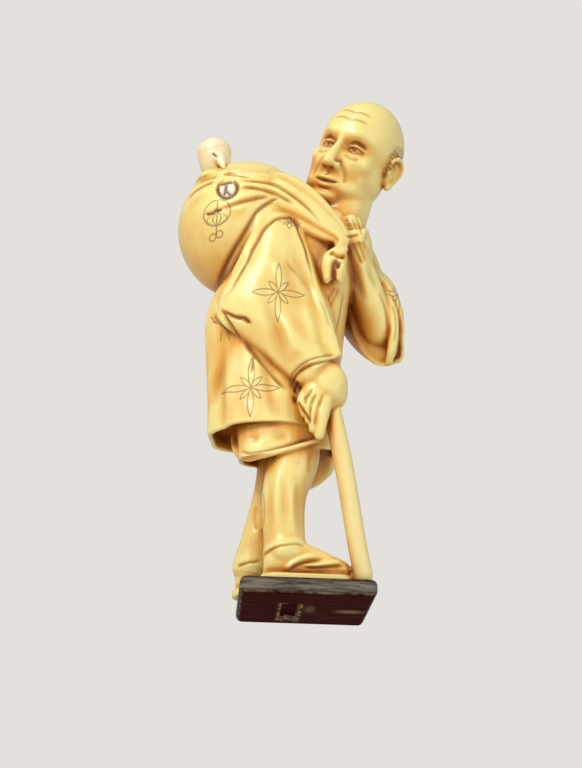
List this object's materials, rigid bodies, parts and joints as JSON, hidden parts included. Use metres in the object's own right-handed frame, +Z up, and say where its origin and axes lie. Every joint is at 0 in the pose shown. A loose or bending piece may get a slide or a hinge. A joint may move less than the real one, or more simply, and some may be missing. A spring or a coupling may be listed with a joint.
{
  "type": "okimono figurine",
  "caption": "Carved figurine of a stooped, bald old traveller with a stick and a cloth sack, a small bird peeping out of it, standing on a low rectangular plinth.",
  "frame": {"origin": "centre of the plinth's underside", "axes": "+Z up, +X the way the man walks, -Y the side he turns his face to"},
  "size_m": [0.0637, 0.0403, 0.1472],
  "materials": {
    "lacquered_wood": "dark lacquer, worn pale along the edges",
    "ivory": "polished ivory stained honey yellow, dark in the creases",
    "pale_ivory": "polished ivory left pale"
  },
  "bodies": {
    "root": {"plinth": "lacquered_wood", "figure": "ivory", "sparrow": "pale_ivory"}
  },
  "joints": []
}
